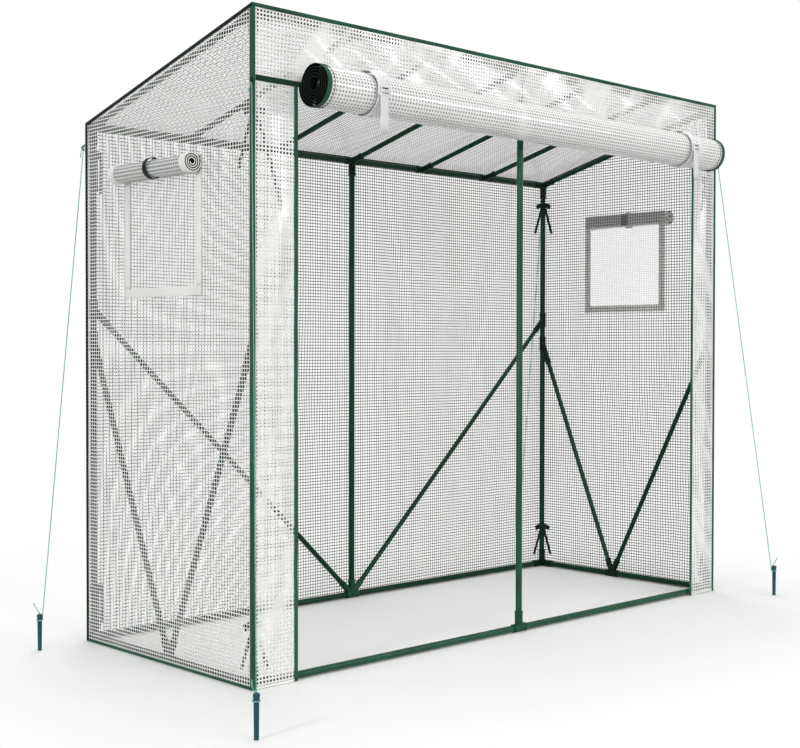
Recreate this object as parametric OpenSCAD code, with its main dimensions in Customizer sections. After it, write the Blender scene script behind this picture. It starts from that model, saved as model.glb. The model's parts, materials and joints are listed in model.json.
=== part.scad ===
// Walk-in tomato greenhouse: a steel tube frame with a single-pitch roof under a reinforced film cover.
// Millimetres. X runs along the width, Y from front to back, Z up. The origin is on the ground, under
// the middle of the footprint.

/* [Overall] */
// Width over the cover
cover_w = 2000; // [1700:10:2600]
// Depth over the cover
cover_d = 780; // [700:10:1200]
// Height of the front eave
front_h = 1680; // [1600:10:2000]
// Height of the back eave
back_h = 1480; // [1440:10:1580]

/* [Frame tubes] */
// Diameter of posts, rails and base tubes
tube_d = 19; // [16:0.5:25]
// Diameter of the rafters
rafter_d = 16; // [12:0.5:19]
// Diameter of the diagonal braces
brace_d = 16; // [10:0.5:19]
// Wall of every tube
tube_wall = 0.8; // [0.5:0.1:2]
// Spaces between rafters along the width
rafter_bays = 6; // [2:2:10]

/* [Moulded fittings] */
// Wall of a socket around its tube
socket_wall = 2.2; // [1.6:0.1:4]
// How deep a tube sits in a socket
socket_depth = 34; // [20:1:50]
// How far the ball of a corner fitting stands out past its sockets
ball_extra = 2.2; // [1.5:0.1:5]
// How far the lip at a socket's mouth stands out
lip_h = 0.8; // [0.3:0.1:1.2]
// Length of that lip along the socket
lip_len = 5; // [2:0.5:10]
// Half the length of a sleeve that slides over a tube
sleeve_half = 26; // [20:1:45]
// How much of the underside of a foot is cut flat
foot_flat = 3; // [1:0.1:3]
// Radial clearance between a tube and its socket
fit_clear = 0.15; // [0.1:0.05:0.4]

/* [Braces] */
// Height at which the side braces meet the posts
side_brace_h = 860; // [600:5:1100]
// Height at which the back braces meet the posts
back_brace_h = 950; // [700:5:1150]
// Where the left brace's foot sits on its base tube, from the middle towards the back
left_brace_foot = -5; // [-80:1:80]
// Where the right brace's foot sits on its base tube, from the middle towards the back
right_brace_foot = 35; // [-80:1:80]

/* [Cover] */
// Thickness of the film panels
film_t = 1; // [0.6:0.1:2]
// Clearance between the film and what it lies on
seat = 0.3; // [0.2:0.05:0.6]
// Width of the edge tape on each face of a corner
tape_w = 9; // [6:0.5:24]
// Thickness of the edge tape
tape_t = 1.2; // [0.6:0.1:2]

/* [Doorway] */
// From the front eave down to the middle of the header tape
fascia_drop = 180; // [120:5:240]
// Width of each fixed film strip beside the doorway
strip_w = 143; // [80:1:250]
// Width of the tape along the header and the jambs
jamb_tape_w = 12; // [8:1:30]
// Diameter of the rolled-up door
door_roll_d = 116; // [80:1:140]
// Turns of film in the rolled-up door
door_turns = 6; // [3:1:8]
// Thickness of one rolled layer with its hem
door_layer_t = 2; // [1:0.1:2.4]
// Diameter of the hole through the middle of the door roll
door_core_d = 14; // [8:1:24]
// How far each end of the roll passes the doorway
door_roll_over = 11; // [0:1:40]
// How far the roll is shifted to the right
door_roll_shift = 12; // [-30:1:30]
// How far the roll's axis lies under the header tape's middle
door_roll_drop = 8; // [0:1:30]
// Width of the straps that hold the door roll
strap_w = 32; // [15:1:60]
// Thickness of the straps
strap_t = 1.5; // [0.8:0.1:3]
// From each end of the roll to the middle of its strap
strap_in = 180; // [60:5:400]
// How far a strap's tail hangs under the roll's axis
strap_tail = 106; // [75:1:160]
// Height of the ladder buckle on a strap
buckle_h = 24; // [16:1:36]
// Thickness of the ladder buckle
buckle_t = 3; // [2:0.5:5]

/* [Windows] */
// Width of a window
window_w = 310; // [200:5:380]
// Height of a window
window_h = 290; // [180:5:320]
// Height of a window's sill over the ground
window_sill = 1000; // [700:5:1010]
// Width of the tape around a window
border_w = 25; // [12:1:40]
// Thickness of that tape
border_t = 1; // [0.5:0.1:2]
// Width of the hem over a window that carries the flap
flap_hem = 45; // [30:1:60]
// Diameter of the rolled-up flap
flap_roll_d = 54; // [36:1:60]
// Turns of film in the rolled-up flap
flap_turns = 5; // [2:1:6]
// Thickness of one rolled flap layer with its hem
flap_layer_t = 1.2; // [0.8:0.1:1.6]
// Diameter of the hole through the middle of the flap roll
flap_core_d = 6; // [4:1:10]
// Width of the strap around the flap roll
flap_strap_w = 16; // [8:1:30]
// Thickness of the insect screen
screen_t = 0.8; // [0.4:0.1:1]

/* [Guys] */
// Diameter of a guy rope
rope_d = 3; // [2:0.5:6]
// Diameter of a peg
peg_d = 13; // [6:0.5:16]
// Height of a peg over the ground
peg_h = 100; // [70:5:160]
// From the front eave down to the knots of the front guys
front_guy_drop = 190; // [60:5:400]
// From the back eave down to the knots of the back guys
back_guy_drop = 70; // [60:5:300]
// How far the front left and back right pegs stand out sideways
far_peg_x = 245; // [150:1:500]
// How far the front left and back right pegs stand out in depth
far_peg_y = 336; // [180:1:600]
// How far the front right peg stands out sideways
front_right_peg_x = 80; // [20:1:140]
// How far the front right peg stands out in depth
front_right_peg_y = 190; // [40:1:330]
// How far the back left peg stands out sideways
back_left_peg_x = 160; // [60:1:240]
// How far the back left peg stands out in depth
back_left_peg_y = -20; // [-60:1:170]

/* [Cover ties] */
// From the fittings on top of the front posts down to their upper ties
front_tie_drop = 186; // [20:1:300]
// From the fittings on top of the back posts down to their upper ties
back_tie_drop = 31; // [20:1:200]
// Height of the lower ties over the ground
tie_low_h = 150; // [110:1:300]
// Width of a tie's webbing
tie_w = 10; // [6:0.5:16]
// Thickness of a tie's webbing
tie_t = 1.2; // [0.8:0.1:2]
// Length of a tie's hanging ends
tie_tail = 105; // [60:1:140]

/* [Hidden] */
$fn = 48;

left = -1;
right = 1;
front = -1;
back = 1;

tube_green = "#1c4a35";
fitting_green = "#173d2c";
tape_green = "#1f7a4d";
film_white = [0.93, 0.95, 0.94, 0.45];
strap_white = "#e8e8ee";

half_w = cover_w / 2;
half_d = cover_d / 2;
slope = atan2(front_h - back_h, cover_d);

// The frame lies inside the cover by the film, its seat and the ball of a corner fitting
socket_r = tube_d / 2 + fit_clear + socket_wall;
ball_r = socket_r + ball_extra;
inset = film_t + seat + ball_r;
post_x = half_w - inset;
post_y = half_d - inset;
base_z = ball_r - foot_flat;

// A socket's bore starts clear of the other bores of its fitting
web = 1;
socket_start = ball_r + web;
tee_root = socket_r - fit_clear;
end_gap = seat;
bore_through = 2 * (cover_w + cover_d);
// How far a cut runs past the face that it opens
over = 1;
flare_steps = 5;

header_z = front_h - fascia_drop;
fascia_low = header_z - jamb_tape_w / 2;
strip_edge = half_w - strip_w;

door_roll_r = door_roll_d / 2;
strap_r = door_roll_r + seat;
door_roll_y = -(half_d + tape_t + seat + strap_t + strap_r);
door_roll_z = header_z - door_roll_drop;
door_roll_half = strip_edge + door_roll_over;

window_top = window_sill + window_h;
flap_strap_r = flap_roll_d / 2 + seat;
flap_roll_x = half_w + border_t + seat + strap_t + flap_strap_r;
flap_roll_z = window_top + flap_hem / 2;
flap_roll_len = window_w + 2 * border_w;
spiral_steps = 36;
// Over 1, the outer turns of a roll lie closer than the inner ones
winding = 1.4;

knot_r = 4;
loop_extra = 0.2;
function tie_z(end) =
    eave_z(end * post_y) - socket_start - socket_depth - (end == front ? front_tie_drop : back_tie_drop);
tie_r = tube_d / 2 + fit_clear + tie_t;
rafter_x = [for (i = [1 : rafter_bays - 1]) post_x * (2 * i / rafter_bays - 1)];
middle_rafter = rafter_bays / 2 - 1;

// Height of the roof at a depth y, a distance under its outer face measured square to the roof
function roof_z(y, under = 0) = front_h - (y + half_d) * tan(slope) - under / cos(slope);
// Height of the tube centrelines under the roof
function eave_z(y) = roof_z(y, inset);
function unit(v) = v / norm(v);
function angle_between(a, b) = acos(unit(a) * unit(b));
function reversed(list) = [for (i = [len(list) - 1 : -1 : 0]) list[i]];
function polar(r, angle) = [r * cos(angle), r * sin(angle)];
function outer_r(d) = d / 2 + fit_clear + socket_wall;
// Distance along a branch at which its bore is clear of a tube that it meets at an angle
function clear_start(angle, tube, branch) =
    (tube / 2 + fit_clear + web + (branch / 2 + fit_clear) * cos(angle)) / sin(angle);

rafter_dir = [0, cos(slope), -sin(slope)];

// Ends of the braces: a point on a post, a point on a base tube
function side_foot(side) = [side * post_x, side == left ? left_brace_foot : right_brace_foot, base_z];
function side_top(side, end) = [side * post_x, end * post_y, side_brace_h];
function back_top(side) = [side * post_x, post_y, back_brace_h];
back_foot = [0, post_y, base_z];
function side_pair_half(side) =
    angle_between(side_top(side, front) - side_foot(side), side_top(side, back) - side_foot(side)) / 2;
function side_foot_start(side, end) =
    let (dir = side_top(side, end) - side_foot(side),
         to_tube = angle_between(dir, [0, end, 0]))
    max(clear_start(to_tube, tube_d, brace_d),
        clear_start(side_pair_half(side), 0, brace_d));
function top_start(top, foot) = clear_start(angle_between(foot - top, [0, 0, -1]), tube_d, brace_d);
function back_foot_start(side) =
    let (dir = back_top(side) - back_foot)
    max(clear_start(angle_between(dir, [side, 0, 0]), tube_d, brace_d),
        clear_start(angle_between(dir, [0, 0, 1]), tube_d, brace_d));

// Turns the Z axis to a direction
module along(dir) {
    rotate([0, acos(dir.z / norm(dir)), atan2(dir.y, dir.x)]) children();
}

// Extrudes an outline drawn in depth and height from one X to another
module across(x0, x1) {
    translate([x0, 0, 0]) rotate([90, 0, 90]) linear_extrude(x1 - x0) children();
}

// Extrudes an outline drawn in width and height from one Y to another
module deep(y0, y1) {
    translate([0, y1, 0]) rotate([90, 0, 0]) linear_extrude(y1 - y0) children();
}

// Mirrors what is drawn on the right to the left
module mirror_side(side) {
    mirror([side == left ? 1 : 0, 0, 0]) children();
}

// A hollow tube from one point to another, held back from each point
module tube(from, to, d, from_gap, to_gap) {
    run = to - from;
    translate(from) along(run) translate([0, 0, from_gap + end_gap]) difference() {
        length = norm(run) - from_gap - to_gap - 2 * end_gap;
        cylinder(d = d, h = length);
        translate([0, 0, -over]) cylinder(d = d - 2 * tube_wall, h = length + 2 * over);
    }
}

// A socket with a lip at its mouth, which flares into the fitting where its root is wider
module socket_body(d, start, root_r) {
    r = outer_r(d);
    reach = start + socket_depth;
    flare_len = reach - 2 * lip_len;
    flare = root_r <= r ? [[r, 0]] : [for (i = [0 : flare_steps])
        let (s = i / flare_steps) [r + (root_r - r) * pow(1 - s, 2), flare_len * s]];
    lip = [[r, reach - lip_len], [r + lip_h, reach - lip_len], [r + lip_h, reach]];
    rotate_extrude() polygon(concat([[0, 0]], flare, lip, [[0, reach]]));
}

// A sleeve over a tube that runs through, with a lip at each end
module sleeve_body() {
    r = socket_r;
    rotate_extrude() polygon([
        [0, -sleeve_half], [r + lip_h, -sleeve_half], [r + lip_h, lip_len - sleeve_half],
        [r, lip_len - sleeve_half], [r, sleeve_half - lip_len], [r + lip_h, sleeve_half - lip_len],
        [r + lip_h, sleeve_half], [0, sleeve_half]
    ]);
}

// A moulded fitting: each socket is [direction, tube diameter, start of its bore]
module ball_fitting(sockets) {
    difference() {
        union() {
            sphere(r = ball_r);
            for (s = sockets) along(s[0]) socket_body(s[1], s[2], ball_r - lip_h);
        }
        socket_bores(sockets);
    }
}

module sleeve_fitting(dir, sockets, root_r = 0) {
    difference() {
        union() {
            along(dir) sleeve_body();
            for (s = sockets) along(s[0]) socket_body(s[1], s[2], root_r);
        }
        along(dir) cylinder(d = tube_d + 2 * fit_clear, h = bore_through, center = true);
        socket_bores(sockets);
    }
}

module socket_bores(sockets) {
    for (s = sockets) along(s[0]) translate([0, 0, s[2]])
        cylinder(d = s[1] + 2 * fit_clear, h = socket_depth + over);
}

// Cuts what lies under the ground off a fitting, which leaves a flat foot
module on_ground(p) {
    difference() {
        translate(p) children();
        translate([0, 0, -2 * ball_r]) cube([2 * bore_through, 2 * bore_through, 4 * ball_r], center = true);
    }
}

module corner_post(side, end) {
    color(tube_green)
        tube([side * post_x, end * post_y, base_z], [side * post_x, end * post_y, eave_z(end * post_y)],
             tube_d, socket_start, socket_start);
}

module centre_post(end) {
    color(tube_green)
        tube([0, end * post_y, base_z], [0, end * post_y, eave_z(end * post_y)],
             tube_d, socket_start, socket_start);
}

module top_rail(end) {
    z = eave_z(end * post_y);
    color(tube_green)
        tube([-post_x, end * post_y, z], [post_x, end * post_y, z], tube_d, socket_start, socket_start);
}

module rafter(x) {
    color(tube_green)
        tube([x, -post_y, eave_z(-post_y)], [x, post_y, eave_z(post_y)],
             rafter_d, socket_start, socket_start);
}

module rafters_inner() {
    for (x = rafter_x) rafter(x);
}

module base_along_width(end) {
    color(tube_green)
        tube([-post_x, end * post_y, base_z], [post_x, end * post_y, base_z],
             tube_d, socket_start, socket_start);
}

module base_along_depth(side) {
    color(tube_green)
        tube([side * post_x, -post_y, base_z], [side * post_x, post_y, base_z],
             tube_d, socket_start, socket_start);
}

module side_brace(side) {
    foot = side_foot(side);
    color(tube_green) for (end = [front, back])
        tube(foot, side_top(side, end), brace_d,
             side_foot_start(side, end), top_start(side_top(side, end), foot));
}

module brace_back() {
    color(tube_green) for (side = [left, right])
        tube(back_foot, back_top(side), brace_d, back_foot_start(side), top_start(back_top(side), back_foot));
}

module fittings_top_corner() {
    color(fitting_green) for (side = [left, right], end = [front, back])
        translate([side * post_x, end * post_y, eave_z(end * post_y)]) ball_fitting([
            [[-side, 0, 0], tube_d, socket_start],
            [[0, 0, -1], tube_d, socket_start],
            [-end * rafter_dir, rafter_d, socket_start]
        ]);
}

module fittings_foot_corner() {
    color(fitting_green) for (side = [left, right], end = [front, back])
        on_ground([side * post_x, end * post_y, base_z]) ball_fitting([
            [[-side, 0, 0], tube_d, socket_start],
            [[0, -end, 0], tube_d, socket_start],
            [[0, 0, 1], tube_d, socket_start]
        ]);
}

module fittings_top_centre() {
    color(fitting_green) for (end = [front, back])
        translate([0, end * post_y, eave_z(end * post_y)]) sleeve_fitting([1, 0, 0], [
            [[0, 0, -1], tube_d, socket_start],
            [-end * rafter_dir, rafter_d, socket_start]
        ], tee_root);
}

module fittings_foot_centre() {
    post_socket = [[0, 0, 1], tube_d, socket_start];
    brace_sockets = [for (side = [left, right])
        [back_top(side) - back_foot, brace_d, back_foot_start(side)]];
    color(fitting_green) {
        on_ground([0, -post_y, base_z]) sleeve_fitting([1, 0, 0], [post_socket]);
        on_ground(back_foot) sleeve_fitting([1, 0, 0], concat([post_socket], brace_sockets));
    }
}

module fittings_rafter() {
    color(fitting_green) for (i = [0 : len(rafter_x) - 1], end = [front, back]) if (i != middle_rafter)
        translate([rafter_x[i], end * post_y, eave_z(end * post_y)])
            sleeve_fitting([1, 0, 0], [[-end * rafter_dir, rafter_d, socket_start]], tee_root);
}

module fittings_brace() {
    color(fitting_green) for (side = [left, right]) {
        foot = side_foot(side);
        on_ground(foot) sleeve_fitting([0, 1, 0], [for (end = [front, back])
            [side_top(side, end) - foot, brace_d, side_foot_start(side, end)]]);
        for (end = [front, back]) brace_clip(side_top(side, end), foot);
        brace_clip(back_top(side), back_foot);
    }
}

// A sleeve on a post with a socket that points down along a brace
module brace_clip(top, foot) {
    translate(top) sleeve_fitting([0, 0, 1], [[foot - top, brace_d, top_start(top, foot)]]);
}

module film_roof() {
    color(film_white) across(-half_w, half_w) polygon([
        [-half_d, roof_z(-half_d, film_t)], [half_d, roof_z(half_d, film_t)],
        [half_d, back_h], [-half_d, front_h]
    ]);
}

// A film panel across the front or the back, between the side panels
module end_film(end, x0, x1, low) {
    outside = end * half_d;
    inside = end * (half_d - film_t);
    color(film_white) across(x0, x1) polygon([
        [outside, low], [inside, low], [inside, roof_z(inside, film_t)], [outside, roof_z(outside, film_t)]
    ]);
}

module film_back() {
    end_film(back, film_t - half_w, half_w - film_t, 0);
}

module film_fascia() {
    end_film(front, film_t - half_w, half_w - film_t, fascia_low);
}

module film_strip(side) {
    x = [side * strip_edge, side * (half_w - film_t)];
    color(film_white) translate([min(x), -half_d, 0]) cube([max(x) - min(x), film_t, fascia_low]);
}

// A side panel with its window cut through
module film_side(side) {
    color(film_white) across(min(side * half_w, side * (half_w - film_t)),
                             max(side * half_w, side * (half_w - film_t)))
        difference() {
            polygon([
                [-half_d, 0], [half_d, 0],
                [half_d, roof_z(half_d, film_t)], [-half_d, roof_z(-half_d, film_t)]
            ]);
            window_outline(0, 0);
        }
}

// The window's outline, grown all round and once more at its top
module window_outline(grow, grow_top) {
    translate([-window_w / 2 - grow, window_sill - grow])
        square([window_w + 2 * grow, window_h + grow + grow_top]);
}

// Tape folded over the roof's four edges
module tape_roof_edges() {
    rise = tape_t / cos(slope);
    color(tape_green) {
        for (end = [front, back]) across(-half_w - tape_t, half_w + tape_t) polygon([
            [end * half_d, roof_z(end * half_d)],
            [end * (half_d - tape_w), roof_z(end * (half_d - tape_w))],
            [end * (half_d - tape_w), roof_z(end * (half_d - tape_w)) + rise],
            [end * (half_d + tape_t), roof_z(end * (half_d + tape_t)) + rise],
            [end * (half_d + tape_t), roof_z(end * half_d) - tape_w],
            [end * half_d, roof_z(end * half_d) - tape_w]
        ]);
        for (side = [left, right]) {
            top_y = half_d - tape_w - seat;
            mirror_side(side) {
                across(half_w - tape_w, half_w + tape_t) polygon([
                    [-top_y, roof_z(-top_y)], [top_y, roof_z(top_y)],
                    [top_y, roof_z(top_y) + rise], [-top_y, roof_z(-top_y) + rise]
                ]);
                across(half_w, half_w + tape_t) polygon([
                    [-top_y, roof_z(-top_y, tape_w)], [top_y, roof_z(top_y, tape_w)],
                    [top_y, roof_z(top_y) + rise / 2], [-top_y, roof_z(-top_y) + rise / 2]
                ]);
            }
        }
    }
}

// Tape folded round the four upright corners, up to the tape of the roof edges
module tape_corners() {
    low_edge = tape_w + seat;
    color(tape_green) for (side = [left, right], end = [front, back]) intersection() {
        linear_extrude(front_h) mirror_side(side) mirror([0, end == front ? 1 : 0]) difference() {
            translate([half_w - tape_w, half_d - tape_w]) square(tape_w + tape_t);
            translate([half_w - 2 * tape_w, half_d - 2 * tape_w]) square(2 * tape_w);
        }
        across(-cover_w, cover_w) polygon([
            [-cover_d, 0], [cover_d, 0],
            [cover_d, roof_z(cover_d, low_edge)], [-cover_d, roof_z(-cover_d, low_edge)]
        ]);
    }
}

module tape_header() {
    half_len = half_w - tape_w - seat;
    color(tape_green) translate([-half_len, -half_d - tape_t, fascia_low])
        cube([2 * half_len, tape_t, jamb_tape_w]);
}

module tape_jambs() {
    color(tape_green) for (side = [left, right]) mirror_side(side)
        translate([strip_edge, -half_d - tape_t, 0]) cube([jamb_tape_w, tape_t, fascia_low - seat]);
}

// The section of a sheet rolled up from its core to its free edge
module rolled_sheet(roll_d, core_d, turns, layer_t, edge_angle) {
    steps = spiral_steps * turns;
    growth = (roll_d - core_d) / 2 - layer_t;
    r = [for (i = [0 : steps]) core_d / 2 + growth * (1 - pow(1 - i / steps, winding))];
    angle = [for (i = [0 : steps]) edge_angle - 360 * (steps - i) / spiral_steps];
    inner = [for (i = [0 : steps]) polar(r[i], angle[i])];
    outer = [for (i = [0 : steps]) polar(r[i] + layer_t, angle[i])];
    polygon(concat(inner, reversed(outer)));
}

module door_roll() {
    color("#dfe5e2") across(door_roll_shift - door_roll_half, door_roll_shift + door_roll_half)
        translate([door_roll_y, door_roll_z])
            rolled_sheet(door_roll_d, door_core_d, door_turns, door_layer_t, 0);
}

function strap_x(side) = door_roll_shift + side * (door_roll_half - strap_in);

// A strap round the door roll, with the tail that hangs from its buckle
module door_straps() {
    skin = strap_t / 8;
    color(strap_white) for (side = [left, right]) translate([strap_x(side), door_roll_y, door_roll_z]) {
        rotate([0, 90, 0]) rotate_extrude() translate([strap_r, -strap_w / 2]) square([strap_t, strap_w]);
        translate([-strap_w / 2, -strap_r - strap_t + skin, -strap_tail])
            cube([strap_w, strap_t - 2 * skin, strap_tail]);
    }
}

// Ladder buckles: a frame with two slots for the webbing
module door_buckles() {
    rim = buckle_h / 6;
    slot_h = (buckle_h - 3 * rim) / 2;
    width = strap_w + 2 * rim;
    color(strap_white) for (side = [left, right])
        translate([strap_x(side), door_roll_y - strap_r - strap_t - seat, door_roll_z])
            deep(-buckle_t, 0) difference() {
                square([width, buckle_h], center = true);
                for (k = [-1, 1]) translate([0, k * (slot_h + rim) / 2])
                    square([strap_w, slot_h], center = true);
            }
}

// Tape round each window, with the hem that carries its flap
module window_borders() {
    color(strap_white) for (side = [left, right]) mirror_side(side) across(half_w, half_w + border_t)
        difference() {
            window_outline(border_w, flap_hem);
            window_outline(0, 0);
        }
}

module window_screens() {
    color([0.9, 0.93, 0.91, 0.6]) for (side = [left, right]) mirror_side(side)
        across(half_w - film_t, half_w - film_t + screen_t) window_outline(-seat, -seat);
}

module window_rolls() {
    color("#cfd8d4") for (side = [left, right]) mirror_side(side)
        deep(-flap_roll_len / 2, flap_roll_len / 2) translate([flap_roll_x, flap_roll_z])
            rolled_sheet(flap_roll_d, flap_core_d, flap_turns, flap_layer_t, 180);
}

module window_straps() {
    color("#33403a") for (side = [left, right])
        translate([side * flap_roll_x, 0, flap_roll_z]) rotate([90, 0, 0])
            rotate_extrude() translate([flap_strap_r, -flap_strap_w / 2]) square([strap_t, flap_strap_w]);
}

function peg_at(side, end) =
    side == left && end == back ? [-half_w - back_left_peg_x, half_d + back_left_peg_y] :
    side == right && end == front ? [half_w + front_right_peg_x, -half_d - front_right_peg_y] :
    [side * (half_w + far_peg_x), end * (half_d + far_peg_y)];

// A guy rope from a knot on the corner tape to a loop round its peg
module guy_ropes() {
    loop_r = peg_d / 2 + seat + rope_d / 2 + loop_extra;
    out = (knot_r + seat) / sqrt(2);
    color("#8fd0bd") for (side = [left, right], end = [front, back]) {
        knot = [
            side * (half_w + tape_t + out), end * (half_d + tape_t + out),
            end == front ? front_h - front_guy_drop : back_h - back_guy_drop
        ];
        peg = peg_at(side, end);
        loop = [peg.x, peg.y, peg_h - 1.25 * peg_d];
        to_knot = unit([knot.x - loop.x, knot.y - loop.y, 0]);
        low_end = loop + loop_r * to_knot;
        translate(knot) sphere(r = knot_r);
        translate(knot) along(low_end - knot) cylinder(d = rope_d, h = norm(low_end - knot));
        translate(loop) rotate_extrude() translate([loop_r, 0]) circle(d = rope_d + 2 * loop_extra);
    }
}

// The pegs from the ground up, each with a wider head
module pegs() {
    r = peg_d / 2;
    head_r = 1.2 * r;
    foot_r = 0.85 * r;
    color("#1f4f57") for (side = [left, right], end = [front, back])
        translate(concat(peg_at(side, end), [0])) rotate_extrude() polygon([
            [0, 0], [foot_r, 0], [r, peg_h - peg_d], [head_r, peg_h - 0.6 * peg_d],
            [head_r, peg_h - 0.2 * peg_d], [r, peg_h], [0, peg_h]
        ]);
}

// Webbing ties from the cover round the corner posts, each with a knot, two bows and two ends
module cover_ties() {
    color("#16382a") for (side = [left, right], end = [front, back], z = [tie_z(end), tie_low_h])
        translate([side * post_x, end * post_y, z]) rotate([0, 0, atan2(-end, -side)]) cover_tie();
}

module cover_tie() {
    knot_x = tie_r + tie_w / 2 - tie_t / 2;
    bow_r = 1.2 * tie_w;
    difference() {
        cylinder(r = tie_r, h = tie_w, center = true);
        cylinder(r = tie_r - tie_t, h = 2 * tie_w, center = true);
    }
    translate([knot_x, 0, 0]) cube([tie_w, tie_w, tie_w * 1.1], center = true);
    for (k = [-1, 1]) {
        translate([knot_x, k * (tie_w / 2 + bow_r - tie_t), 0]) rotate([0, 90, 0]) difference() {
            cylinder(r = bow_r, h = tie_w * 0.8, center = true);
            cylinder(r = bow_r - tie_t, h = tie_w, center = true);
        }
        translate([knot_x, k * tie_w / 4, 0]) rotate([k * 8, 0, 0]) translate([0, 0, -tie_tail / 2])
            cube([tie_t, tie_w * 0.8, tie_tail], center = true);
    }
}

corner_post(left, front);  // post_front_left
corner_post(right, front);  // post_front_right
corner_post(left, back);  // post_back_left
corner_post(right, back);  // post_back_right
centre_post(front);  // post_front_centre
centre_post(back);  // post_back_centre
top_rail(front);  // rail_top_front
top_rail(back);  // rail_top_back
rafter(-post_x);  // rafter_left
rafter(post_x);  // rafter_right
rafters_inner();
base_along_width(front);  // base_front
base_along_width(back);  // base_back
base_along_depth(left);  // base_left
base_along_depth(right);  // base_right
side_brace(left);  // brace_left
side_brace(right);  // brace_right
brace_back();
fittings_top_corner();
fittings_foot_corner();
fittings_top_centre();
fittings_foot_centre();
fittings_rafter();
fittings_brace();
film_roof();
film_back();
film_side(left);  // film_left
film_side(right);  // film_right
film_fascia();
film_strip(left);  // film_strip_left
film_strip(right);  // film_strip_right
tape_roof_edges();
tape_corners();
tape_header();
tape_jambs();
door_roll();
door_straps();
door_buckles();
window_borders();
window_screens();
window_rolls();
window_straps();
guy_ropes();
pegs();
cover_ties();
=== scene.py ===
# %% [markdown]
# # A walk-in film greenhouse, dressed
#
# The CAD part gives the frame of green tubes, the moulded fittings and a plain solid for every
# soft piece. This lesson puts the looks on it: paint, clear film with a white grid, rolled-up
# film, webbing and rope. All lengths are in metres. The middle of the footprint is the origin,
# +X runs along the front, +Y goes to the back and +Z is up.

# %% Load the frame
import json
import math

import bpy
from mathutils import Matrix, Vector, noise


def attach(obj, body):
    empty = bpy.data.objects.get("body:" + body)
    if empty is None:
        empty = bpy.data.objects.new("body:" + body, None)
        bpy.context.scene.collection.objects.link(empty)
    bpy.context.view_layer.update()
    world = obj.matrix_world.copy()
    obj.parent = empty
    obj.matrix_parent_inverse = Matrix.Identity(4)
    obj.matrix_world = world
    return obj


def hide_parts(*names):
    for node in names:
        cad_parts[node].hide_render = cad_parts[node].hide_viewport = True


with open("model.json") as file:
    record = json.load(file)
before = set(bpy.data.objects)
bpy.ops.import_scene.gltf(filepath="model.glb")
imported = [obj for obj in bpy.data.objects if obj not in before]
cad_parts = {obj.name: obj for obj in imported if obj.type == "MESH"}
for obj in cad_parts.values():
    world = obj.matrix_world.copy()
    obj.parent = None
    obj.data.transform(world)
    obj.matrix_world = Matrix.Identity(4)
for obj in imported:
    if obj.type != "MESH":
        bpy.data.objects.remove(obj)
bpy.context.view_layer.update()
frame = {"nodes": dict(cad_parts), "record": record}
scene = bpy.context.scene
print("nodes in the frame:", len(frame["nodes"]))

# %% [markdown]
# ## The camera
#
# The photograph looks at the front left corner from a little above half the height. The focal
# length and the place of the camera come from fitting the corners of the cover to the picture.
# A camera can also be aimed at a target; plain angles were chosen, because the fit gives them.
# Depth of field stays off.

# %% Camera
CAMERA_AT = (-2.9973, -3.0161, 0.8388)
CAMERA_YAW = 43.53
CAMERA_DOWN = 1.077
CAMERA_ROLL = -0.08
CAMERA_LENS = 60.47
SENSOR_W = 36.0
SEES_TO = 60.0

camera_data = bpy.data.cameras.new("camera")
camera_data.sensor_fit = "HORIZONTAL"
camera_data.sensor_width = SENSOR_W
camera_data.lens = CAMERA_LENS
camera_data.clip_end = SEES_TO
camera = bpy.data.objects.new("camera", camera_data)
camera.location = CAMERA_AT
camera.rotation_euler = (
    math.radians(90.0 - CAMERA_DOWN),
    math.radians(CAMERA_ROLL),
    math.radians(-CAMERA_YAW),
)
scene.collection.objects.link(camera)
scene.camera = camera
print("camera", CAMERA_LENS, "mm")

# %% [markdown]
# ## A small language for shaders
#
# Materials here are all procedural. `Nodes` wraps a node tree, so that a pattern reads like a
# formula: each method adds one node and hands back its output socket. A plain number is written
# straight on the socket that it feeds. `Shade` is such a tree in a material of its own. Nodes
# could be placed by hand in the editor too, but a formula is easier to read and to change.


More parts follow.
